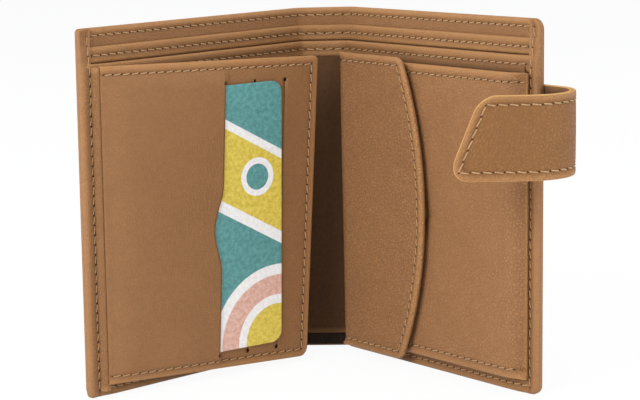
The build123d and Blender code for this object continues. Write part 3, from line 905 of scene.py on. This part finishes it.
# %% [markdown]
# ## The fore-edges
# The cover is turned over the edge of all its layers and sewn through them. From the front this
# is a thick soft roll with a line of stitches beside it. Near the top there are fewer layers
# under it, so it steps back. The cover's own sheet could be bent round them, but the roll hides
# where it comes from, so it is a thick sheet of its own with round edges.

# %% Roll the fore-edges
binding_width = 4.2
binding_foot = {"left": 1.6, "right": 3.0}
binding_seam = {"left": 3.35, "right": 2.8}


def fore_edge_step(u, z, front):
    """Lowers the edge's front where the inner layers stop, near the top."""
    if not front:
        return np.zeros(len(z))
    steps = 0.9 * rising(z, 102.4, 105.2) + 1.1 * rising(z, 107.6, 110.4)
    return -0.9 * steps - 0.15 * np.sin(z * 0.31) * np.sin(z * 0.083)


for side in way:
    edge = add_sheet(
        side + "_fore_edge", leathers["edge"], "turned_leather", [side + "_edge_binding"],
        riding(side + "_half"), place=half_place(side),
        across=(half_width - binding_width, half_width + 0.3), upright=(0, cover_height),
        depth=-0.5, thick=4.35, corners=(0, binding_foot[side], corner_round[side], 0),
        sewn="r", roll=1.25, bead=0.1, puff=0.0, seam_in=binding_seam[side],
        lift=fore_edge_step, extra_z=tuple(range(101, 112)),
    )
    threads = Thread(side + "_edge_thread")
    threads.sew(edge, seam_corners(edge, "r", trim=2.4))
    threads.make(riding(side + "_half"))

# %% [markdown]
# ## The card wing
# A second leaf is sewn into the left fore-edge. Its face has three slits for cards, cut between
# punched holes, and a thumb notch in the first. The leather left of the first slit lies over the
# card. The slits could be cut with booleans, which would spoil the even grid, so the face is one
# sheet that is cut along grid lines: each line is doubled where it is cut, and the copies part.

# %% Describe the wing's face
slit_low, slit_high = 4.6, 92.0
slits = (41.1, 52.6, 64.2)
slit_half = 0.12
punch_radius = 0.7
notch_middle, notch_long, notch_deep = 45.5, 26.0, 2.9
lip_half, lip_soft, lip_rise = 1.4, 10.6, 1.45
cut_edge = 1.6  # a cut rim looks as pale as leather this far from an edge
rise_across, rise_low, rise_high = (1.4, 7.4), (0.4, 4.2), (91.6, 98.4)
shoulder_wide = 2.2
wing_seam = 2.6


def slit_gap(z):
    """Half the width of a slit at a height, with its round punched ends."""
    gap = np.where((z > slit_low) & (z < slit_high), slit_half, 0.0)
    for end in (slit_low, slit_high):
        gap = np.maximum(gap, np.sqrt(np.maximum(punch_radius**2 - (z - end) ** 2, 0)))
    return gap


def notch(z):
    """How far the thumb notch cuts into the first lip."""
    share = np.clip(np.abs(z - notch_middle) / (notch_long / 2), 0, 1)
    return notch_deep * np.cos(share * math.pi / 2) ** 1.5


def wing_rise(x, z):
    """The leather left of the first slit lies over the card."""
    over = rising(x, *rise_across) * rising(z, *rise_low) * (1 - rising(z, *rise_high))
    return np.where(x < slits[0] + 0.001, lip_rise * over, 0.0)


def wing_shoulder(x, z, front):
    """Drops the wing's left side into the crease that it folds at."""
    return (-0.65 if front else -0.2) * (1 - quarter_round((x - wing_near) / shoulder_wide))


wing_shape = dict(
    place=wing_place, across=(wing_near, wing_far), upright=(0, wing_tall),
    corners=(0, 3.0, 1.6, 0), rolled="rbt",
)
wing_face = Sheet(
    depth=0.66, thick=0.97, sewn="rbt", seam_in=wing_seam, bead=0.08, puff=0.03,
    lift=wing_shoulder, **wing_shape,
)
print("thumb notch leaves", round(slits[0] - float(notch(notch_middle)), 1), "mm of leather")


# %% Cut the wing's face
def slit_grid(sheet):
    """Columns with the side of a slit that they are on, and the heights of the rows."""
    shares = (-1, -0.8, -0.4, 0, 0.4, 0.8, 1)
    punched = [end + punch_radius * share for end in (slit_low, slit_high) for share in shares]
    lips = [slit + offset for slit in slits for offset in (-lip_half, lip_half)]
    shoulder = [wing_near + step for step in (0.12, 0.35, 0.7, 1.1, 1.6, 2.2, 3.0, 4.0)]
    columns = []
    for u in grid_lines(sheet.across, False, True, (*shoulder, *lips, *slits)):
        columns += [(u, -1), (u, 1)] if u in slits else [(u, 0)]
    return columns, grid_lines(sheet.upright, True, True, punched, step=2.0)


def cut_face(sheet, name, finish):
    """The face as a grid whose slit lines are doubled, thickened afterwards."""
    columns, rows = slit_grid(sheet)
    wide = len(columns)
    line, level, side = np.array([(u, z, side) for z in rows for u, side in columns]).T
    u, z = sheet.press_corners(line, level)
    gap = slit_gap(z)
    over_card = (side <= 0) & (line < slits[0] + 0.01)
    # the first lip follows the notch, and the leather behind it less and less
    follows = np.clip(1 - (slits[0] - lip_half - line) / lip_soft, 0, 1)
    follows = np.where(side < 0, 1.0, follows) * over_card
    at = u + side * gap - notch(z) * follows
    height = sheet.face(u, z) + wing_rise(u, z) * over_card
    # where a slit is closed, its right copy lies on its left one
    height = np.where((gap < 0.01) & (side > 0), np.roll(height, 1), height)
    quads = [quad for quad in grid_faces(wide, len(rows)) if columns[quad[0] % wide][1] != -1]
    edge = sheet.inset(u, z, sheet.rolled)
    edge = np.where((side != 0) & (gap > 0.01), np.minimum(edge, cut_edge), edge)
    seam = np.abs(sheet.inset(u, z, sheet.sewn) - sheet.seam_in)
    layout = np.stack((at, z), axis=1) / layout_unit
    marks = {"edge": edge, "seam": seam}
    return build(name, sheet.place(at, z, height), quads, finish, layout, marks)


def thicken(piece, thick):
    """Joins the copies where the slits are closed, and gives the leather its thickness."""
    working = bmesh.new()
    working.from_mesh(piece.data)
    bmesh.ops.remove_doubles(working, verts=working.verts, dist=0.02 * mm)
    bmesh.ops.recalc_face_normals(working, faces=working.faces)
    if sum(face.normal.dot(Vector(wing_out)) for face in working.faces) < 0:
        bmesh.ops.reverse_faces(working, faces=working.faces)
    working.to_mesh(piece.data)
    working.free()
    solid = piece.modifiers.new("leather", "SOLIDIFY")
    solid.thickness = thick * mm
    solid.offset = -1
    solid.use_even_offset = False


piece = cut_face(wing_face, "wing_face_leather", leathers["wing"])
thicken(piece, thick=0.5)
settle(piece, ["wing_face"], riding("wing"))

# %% [markdown]
# Behind the face the wing has a back leather, and between them lies the one thin cloth of the
# wallet, the pocket's lining. It is held flat between the leathers, so it needs no simulation.
# The thread lies on the face, also where that rises over the card.

# %% Back the wing and sew it
wing_back = add_sheet(
    "wing_back_leather", leathers["inner"], "inner_leather", ["wing_back"], riding("wing"),
    depth=-0.25, thick=1.0, **wing_shape,
)
pocket_margin = 3
pocket = add_sheet(
    "wing_pocket_cloth", materials["suede"], "pocket_fabric", ["wing_pocket_lining"],
    riding("wing"), place=wing_place, depth=0.62, thick=0.16, roll=0.1,
    across=(wing_near + pocket_margin, wing_far - pocket_margin),
    upright=(pocket_margin, wing_tall - pocket_margin),
)


class WingSeam:
    """The surface that the wing's thread lies on, with the rise over the card."""

    def points(self, u, z, front=True, proud=0.0):
        return wing_place(u, z, wing_face.face(u, z) + wing_rise(u, z) + proud)


near, low, high, far = 1.4, wing_seam, wing_tall - wing_seam, wing_far - wing_seam
threads = Thread("wing_thread")
threads.sew(WingSeam(), [(near, low), (far, low), (far, high), (near, high)])
behind = seam_corners(wing_back, "brt", wing_seam, trim=1.2)
threads.sew(wing_back, behind, front=False, sink=0.18)
threads.make(riding("wing"))

# %% [markdown]
# The strip between the fore-edge's seam and the wing is the wing's hinge. The wing's own face
# could run on to the seam, but it rides on one body and can't bend, so a plain soft strip fills
# the gap, shaped to run from the half's seam at one side to the crease at the wing at the other.

# %% Hang the wing on its strip
hinge_from, hinge_run, hinge_long = 87.8, 2.2, 4.0
hinge_depth, hinge_rise, hinge_dip = 2.7, 2.5, 0.15
left_out = spot(left_place, 0.0, 0.0, 1.0) - spot(left_place, 0.0, 0.0, 0.0)


def hinge_place(x, z, t):
    """Runs from the fore-edge's seam to the crease at the wing's hinge, on the half."""
    share = x / hinge_long
    height = hinge_depth + hinge_rise * np.sqrt(rising(share, -0.2, 0.55))
    height = height - hinge_dip * rising(share, 0.6, 1.1)
    flat = left_place(hinge_from - hinge_run * share, z, np.zeros(len(z)))
    return flat + np.outer(height + t, left_out)


hinge_start = spot(left_place, 88.8, middle_height, 4.2)
hinge_end = spot(left_place, 86.0, middle_height, 4.2)
add_sheet(
    "wing_hinge_leather", leathers["hem"], "inner_leather", ["wing_hinge_strip"],
    bending(hinge_start, hinge_end), place=hinge_place,
    across=(0, 4.5), upright=(2.0, 103.2), depth=-0.75, thick=0.8, rolled="bt", roll=0.5,
    extra_u=(0.3, 0.6, 0.9, 1.3, 1.7, 2.1, 2.5, 2.9, 3.3, 3.7, 4.0, 4.2),
)

# %% [markdown]
# ## The card
# A plain plastic card with a generic print: slanted bands of colour, a set of rings in one corner
# and a small spot. They are worked out from the card's own flat layout, so that the print needs
# no picture and slides with the card.

# %% Make the card
card_width, card_tall, card_thick = 53.98, 85.6, 0.68
card_middle = (37.0, 48.3)
card_skew = math.radians(2.2)
teals = (0.055, 0.22, 0.215), (0.115, 0.34, 0.33)
mustards = (0.56, 0.42, 0.035), (0.75, 0.6, 0.1)
blushes = (0.58, 0.31, 0.24), (0.76, 0.5, 0.41)
whites = (0.76, 0.76, 0.75), (0.88, 0.88, 0.87)


def card_place(u, z, t):
    """Points of the card, which sits a little askew in its slit."""
    x = card_middle[0] + u * math.cos(card_skew) - z * math.sin(card_skew)
    y = card_middle[1] + u * math.sin(card_skew) + z * math.cos(card_skew)
    return wing_place(x, y, t)


def card_print():
    finish = Finish("printed_card", IOR=1.5)
    flat = finish.node("UVMap", {"uv_map": "flat"})
    x = finish.node("SeparateXYZ", Vector=flat)
    y = x.beside(1)
    paper = finish.between(finish.noise(flat, 7.0, 5.0, 0.75), 0.35, 0.65)
    speck = finish.noise(flat, 26.0, 4.0, 0.8)

    def round_spot(across, upwards, radius):
        """1 inside a circle, with a crisp rim."""
        away = (x - across) * (x - across) + (y - upwards) * (y - upwards)
        return finish.between(away, radius**2 * 0.985, radius**2 * 1.015, 1.0, 0.0)

    inks = (finish.mix(paper, *pair) for pair in (teals, mustards, blushes, whites))
    teal, mustard, blush, white = inks
    tone, slope = teal, y + 0.55 * x
    for start, ink in ((0.42, white), (0.82, mustard), (3.2, white), (3.5, teal)):
        tone = finish.mix(finish.between(slope, start, start + 0.03), tone, ink)
    for radius, ink in ((2.5, white), (2.15, blush), (1.5, white), (1.2, mustard)):
        tone = finish.mix(round_spot(2.5, -4.2, radius), tone, ink)
    for radius, ink in ((0.62, white), (0.42, teal)):
        tone = finish.mix(round_spot(1.75, 1.25, radius), tone, ink)
    tone = finish.mix(finish.between(speck, 0.5, 0.72) * 0.28, tone, (0.22, 0.2, 0.16))
    normal = finish.bump(speck, 0.00004, 0.35)
    return finish.end(Base_Color=tone, Roughness=0.42 + 0.12 * paper, Normal=normal)


add_sheet(
    "plain_card", card_print(), "card_plastic", ["card"], riding("card"), place=card_place,
    across=(-card_width / 2, card_width / 2), upright=(-card_tall / 2, card_tall / 2),
    depth=1.87, thick=card_thick, corners=(3.18, 3.9, 3.9, 3.18), roll=0.12,
)

# %% [markdown]
# ## The coin pocket
# Back, front and bellows of the coin pocket on the right half. The front's top and bottom are
# sewn, its far side goes under the fore-edge, and its mouth side is a rolled edge under the flap.
# It could be one folded bag, but its leathers are cut and sewn singly on a real wallet too, and
# single sheets keep their edges crisp where they meet.

# %% Build the coin pocket
pocket_far = 88.6
pocket_low = 4.8
pocket_seam = 2.9
descent, descent_from, descent_to = 2.45, 82.2, 88.0


def pocket_descent(u, z, front):
    """The pocket's leather comes down to the fore-edge's seam, and gives way under its snap."""
    away = np.hypot(u - coin_snap[0], z - coin_snap[1])
    seat = coin_seat * (1 - rising(away, 5.4, 8.2))
    return -descent * rising(u, descent_from, descent_to) * (1 if front else 0.9) - seat


def add_bellows(name, node, across, upright, depth, thick, roll):
    """Makes one of the pocket's inner leathers, dark as painted shade inside the pocket."""
    add_sheet(
        name, materials["divider"], "suede_lining", [node], riding("right_half"),
        place=right_place, across=across, upright=upright, depth=depth, thick=thick, roll=roll,
    )


add_bellows(
    "coin_pocket_back_panel", "coin_pocket_back", (5.2, 86.4), (5.6, 100.8), 3.8, 0.7, 0.35
)
coin_front = add_sheet(
    "coin_pocket_front_panel", leathers["inner"], "inner_leather", ["coin_pocket_front"],
    riding("right_half"), place=right_place, across=(12.0, pocket_far),
    upright=(pocket_low, 99.0), depth=5.2, thick=1.3, corners=(1.5, 0.6, 0.6, 1.5),
    sewn="bt", seam_in=pocket_seam, roll=0.9, bead=0.2, puff=0.12, lift=pocket_descent,
)
bellows = {
    "coin_gusset_top": ((12.4, 84.0), (96.2, 98.7)),
    "coin_gusset_bottom": ((12.4, 84.0), (6.0, 8.2)),
    "coin_gusset_side": ((80.6, 83.4), (8.2, 96.2)),
}
for node, spans in bellows.items():
    add_bellows(node + "_leather", node, *spans, 4.4, 1.1, 0.5)
seam_height = pocket_low + pocket_seam
threads = Thread("coin_pocket_thread")
threads.sew(coin_front, seam_corners(coin_front, "t", trim=1.0))
threads.sew(coin_front, [(13.0, seam_height), (pocket_far - 4.4, seam_height)])
threads.make(riding("right_half"))

# %% [markdown]
# ## The coin flap
# The flap is one piece of leather that comes up from the pocket's back, turns over in a soft
# fold and lies over the front, with a bowed rim. The bow could be cut from a wider sheet, but
# then the seam wouldn't follow it, so the whole grid is pushed into the bow, thread and all. Its
# fold is the sheet's left side, dropped round a quarter circle.

# %% Build the coin flap
flap_low, flap_high = 2.9, 101.0
flap_near, flap_far = 4.2, 46.9
flap_sag = 10.9
flap_tall = flap_high - flap_low
flap_turn = 5.2
flap_seam = 2.6
bow_from, bow_to = flap_near + 6, flap_far - 8
spread_wide, spread_run = 1.3, 14
flap_steps = (0.0, 0.15, 0.4, 0.8, 1.3, 1.9, 2.6, 3.4, 4.3, 5.2)


def flap_bow(u, z):
    """Bows the flap's rim as an arc through its two corners, and spreads its top."""
    middle = (flap_low + flap_high) / 2
    radius = (flap_tall**2 / 4 + flap_sag**2) / (2 * flap_sag)
    inward = radius - np.sqrt(np.maximum(radius**2 - (z - middle) ** 2, 0))
    share = np.clip((u - bow_from) / (bow_to - bow_from), 0, 1)
    beside_fold = 1 - rising(u, flap_near, flap_near + spread_run)
    return u - inward * share - spread_wide * rising(z, 10, 104) * beside_fold, z


def flap_fold(u, z, front):
    """Drops the left side round the fold."""
    return -(4.6 if front else 3.4) * (1 - quarter_round((u - flap_near) / flap_turn))


flap_start, flap_end = (spot(right_place, 4.6, middle_height, depth) for depth in (4.2, 7.4))
flap = add_sheet(
    "coin_flap_leather", leathers["flap"], "inner_leather",
    ("coin_flap_outer", "coin_flap_fold", "coin_flap_lining"),
    bending(flap_start, flap_end), place=right_place,
    across=(flap_near, flap_far), upright=(flap_low, flap_high), depth=8.2, thick=1.7,
    corners=(2.6, 2.5, 2.5, 2.2), rolled="rbt", sewn="rbt", seam_in=flap_seam, roll=1.0,
    bead=0.28, puff=0.2, shift=flap_bow, lift=flap_fold,
    extra_u=tuple(flap_near + step for step in flap_steps),
)
near, low, high = flap_near + 3.2, flap_low + flap_seam, flap_high - flap_seam
rim = flap_far - flap_seam
threads = Thread("coin_flap_thread")
threads.sew(flap, [(near, low), (rim, low), (rim, high), (near, high)])
threads.make(riding("coin_flap"))

# %% [markdown]
# ## The strap
# Two leathers sewn back to back, turned in a curl that stands off the fore-edge. The edges are
# cut and left raw, which shows as a pale line. Its sewn end lies on the outside of the cover. A
# curve modifier could bend it, but the path is only a straight, an arc and a straight, and the
# same formula then lays the thread.

# %% Build the strap
strap_slant = 10.0
sewn_length = 26.0
strap_top = strap_foot + strap_width
slant_from, slant_to = strap_length - 27, strap_length - 4
bend_long, bend_lean = 3.4, math.radians(52)


def strap_slope(s, z):
    """Slants the strap's free end."""
    share = rising(s, slant_from, slant_to)
    return s - strap_slant * (z - strap_foot) / strap_width * share, z


def strap_bending():
    """Fixes the strap where it lies; the aslant way at its root, clear of the limb, isn't used.
    """
    origin = spot(right_place, 0.0, 0.0, 0.0)
    along = spot(right_place, 1.0, 0.0, 0.0) - origin
    inward = spot(right_place, 0.0, 0.0, 1.0) - origin
    way_on = along * math.cos(bend_lean) + inward * math.sin(bend_lean)
    start = spot(right_place, half_width - 0.4, 80.0, -1.4)
    end = start + way_on * bend_long * math.cos(bend_lean)
    tips = strap_place(np.full(2, strap_length), np.array([strap_foot, strap_top]), np.zeros(2))
    print("limb clear of the bend by", (tips - end).dot(way_on).round(1), "mm")
    return bending(start, end)


strap_bend = strap_bending()
strap_shape = dict(
    place=strap_place, across=(-sewn_length, strap_length), upright=(strap_foot, strap_top),
    corners=(1.5, 6.8, 4.8, 1.5), shift=strap_slope, raw_rim=materials["raw"],
    extra_u=tuple(np.arange(0, strap_straight + curl_length, 1.0)),
)
strap_outer = add_sheet(
    "strap_outer_leather", leathers["strap"], "strap_leather",
    ["strap_outer", "strap_anchor_outer"], strap_bend,
    depth=0.0, thick=1.05, sewn="lrbt", roll=0.5, bead=0.1, puff=0.12, **strap_shape,
)
# the lining takes the dark divider leather: painted shade inside the curl
add_sheet(
    "strap_inner_leather", materials["divider"], "strap_lining",
    ["strap_lining", "strap_anchor_lining"], strap_bend,
    depth=-0.85, thick=0.85, roll=0.3, **strap_shape,
)
threads = Thread("strap_thread", radius=0.21)
threads.sew(strap_outer, seam_corners(strap_outer, "lbrt"), pitch=3.3)
threads.make(strap_bend)

# %% [markdown]
# ## Snaps
# The studs, sockets and rivets keep their own solids, which are turned metal and need no soft
# shape. They get an aged brass, dull where it has tarnished.


# %% Give the snaps their metal
def aged_brass():
    finish = Finish("aged_brass", Metallic=1.0)
    where = finish.node("TexCoord", output=3)
    tarnish = finish.noise(where, 700.0, 4.0, 0.6)
    normal = finish.bump(finish.noise(where, 3000.0), 0.00002, 0.3)
    tone = finish.mix(finish.between(tarnish, 0.4, 0.7), (0.62, 0.47, 0.25), (0.33, 0.22, 0.1))
    return finish.end(Base_Color=tone, Roughness=0.28 + 0.25 * tarnish, Normal=normal)


brass = aged_brass()
snaps = sorted(node for node in frame["nodes"] if "_snap_" in node)
for node in snaps:
    metal = frame["nodes"][node].data
    metal.materials.clear()
    metal.materials.append(brass)
print("brass:", snaps)

# %% [markdown]
# ## Floor, light and camera
# The floor is pale and shows white to the camera, but still takes the wallet's shadow. More
# light would whiten it too, but would burn out the leather, so the floor mostly glows instead,
# and only for rays from the camera, from gloss and through glass.


# %% Lay the floor
def floor_finish():
    finish = Finish("pale_floor", Roughness=0.9)
    grain = finish.noise(finish.node("TexCoord", output=3), 30.0)
    finish.end(Base_Color=finish.mix(grain, (0.86, 0.86, 0.86), (0.9, 0.9, 0.9)))
    rays = finish.node("LightPath")
    share = (rays + rays.beside(3) + rays.beside(6)) * 0.94
    plain = Value(finish.tree, finish.shader.outputs[0])
    glow = finish.node("Emission", Strength=1.0)
    mixer = finish.node("MixShader", i0=share, i1=plain, i2=glow)
    finish.give(finish.tree.nodes["Material Output"].inputs[0], mixer)
    return finish.material


reach = 3.0
floor_mesh = bpy.data.meshes.new("floor")
floor_corners = [(-reach, -reach, 0), (reach, -reach, 0), (reach, reach, 0), (-reach, reach, 0)]
floor_mesh.from_pydata(floor_corners, [], [(0, 1, 2, 3)])
floor_mesh.materials.append(floor_finish())
floor = bpy.data.objects.new("floor", floor_mesh)
bpy.context.scene.collection.objects.link(floor)
print("floor", 2 * reach, "m wide")

# %% [markdown]
# A large soft lamp stands at the upper left, as in a window's light, with a weak one on the right
# to open the shadows. Two low lamps beside the wallet and one above it show its outline.

# %% Light it
lamp_aim = Vector((0, -0.03, 0.06))
lamps = {  # where each stands, how wide it is and its watts
    "key": ((-0.7, -1.15, 0.85), 0.9, 18.5),
    "fill": ((1.0, -1.0, 0.5), 1.2, 4.0),
    "left_side": ((-1.25, 0.05, 0.35), 0.9, 7),
    "right_side": ((1.3, -0.1, 0.35), 0.9, 8),
    "top": ((0.1, 0.1, 1.3), 1.0, 7),
}
for name, (stand, wide, watts) in lamps.items():
    light = bpy.data.lights.new(name, "AREA")
    light.shape = "DISK"
    light.size = wide
    light.energy = watts
    lamp = bpy.data.objects.new(name, light)
    lamp.location = stand
    lamp.rotation_mode = "QUATERNION"
    lamp.rotation_quaternion = (lamp_aim - Vector(stand)).to_track_quat("-Z", "Y")
    bpy.context.scene.collection.objects.link(lamp)
print("lamps:", list(lamps))

# %% [markdown]
# The world is a pale sky for the leather, and plain white for the camera.

# %% Fill the world
world = bpy.data.worlds.new("studio")
bpy.context.scene.world = world
world.use_nodes = True
nodes, links = world.node_tree.nodes, world.node_tree.links
sky, backdrop = nodes["Background"], nodes.new("ShaderNodeBackground")
sky.inputs["Color"].default_value = (0.9, 0.93, 1.0, 1)
sky.inputs["Strength"].default_value = 0.4
backdrop.inputs["Color"].default_value = (1, 1, 1, 1)
seen, chooser = nodes.new("ShaderNodeLightPath"), nodes.new("ShaderNodeMixShader")
for number, giver in enumerate((seen, sky, backdrop)):
    links.new(giver.outputs[0], chooser.inputs[number])
links.new(chooser.outputs[0], nodes["World Output"].inputs[0])
print("sky strength", round(sky.inputs["Strength"].default_value, 2))

# %% [markdown]
# The camera stands where the photographer stood. Its turn, tilt, roll, distance and lens were
# worked out from where the wallet's corners lie in the photograph.

# %% Stand the camera where the photographer stood
camera_turn, camera_tilt, camera_roll = map(math.radians, (4.9, 9.55, -1.67))
camera_far = 0.6548
camera_aim = Vector((-0.00028, -0.0363, 0.0563))
focal_pixels, picture_pixels, film_width = 2053, 640, 36

flat_far = math.cos(camera_tilt)
back = Vector(
    (math.sin(camera_turn) * flat_far, -math.cos(camera_turn) * flat_far, math.sin(camera_tilt))
)
right = Vector((math.cos(camera_turn), math.sin(camera_turn), 0))
rise = back.cross(right)
rolled_right = right * math.cos(camera_roll) + rise * math.sin(camera_roll)
rolled_rise = rise * math.cos(camera_roll) - right * math.sin(camera_roll)
lens = bpy.data.cameras.new("camera")
lens.sensor_width = film_width
lens.lens = film_width * (focal_pixels / picture_pixels)
camera = bpy.data.objects.new("camera", lens)
columns = (rolled_right, rolled_rise, back, camera_aim + back * camera_far)
rows = [[column[axis] for column in columns] for axis in range(3)]
camera.matrix_world = Matrix([*rows, (0, 0, 0, 1)])
bpy.context.scene.collection.objects.link(camera)
bpy.context.scene.camera = camera
bpy.context.scene.view_settings.view_transform = "Standard"
print("lens", round(lens.lens, 1), "mm")
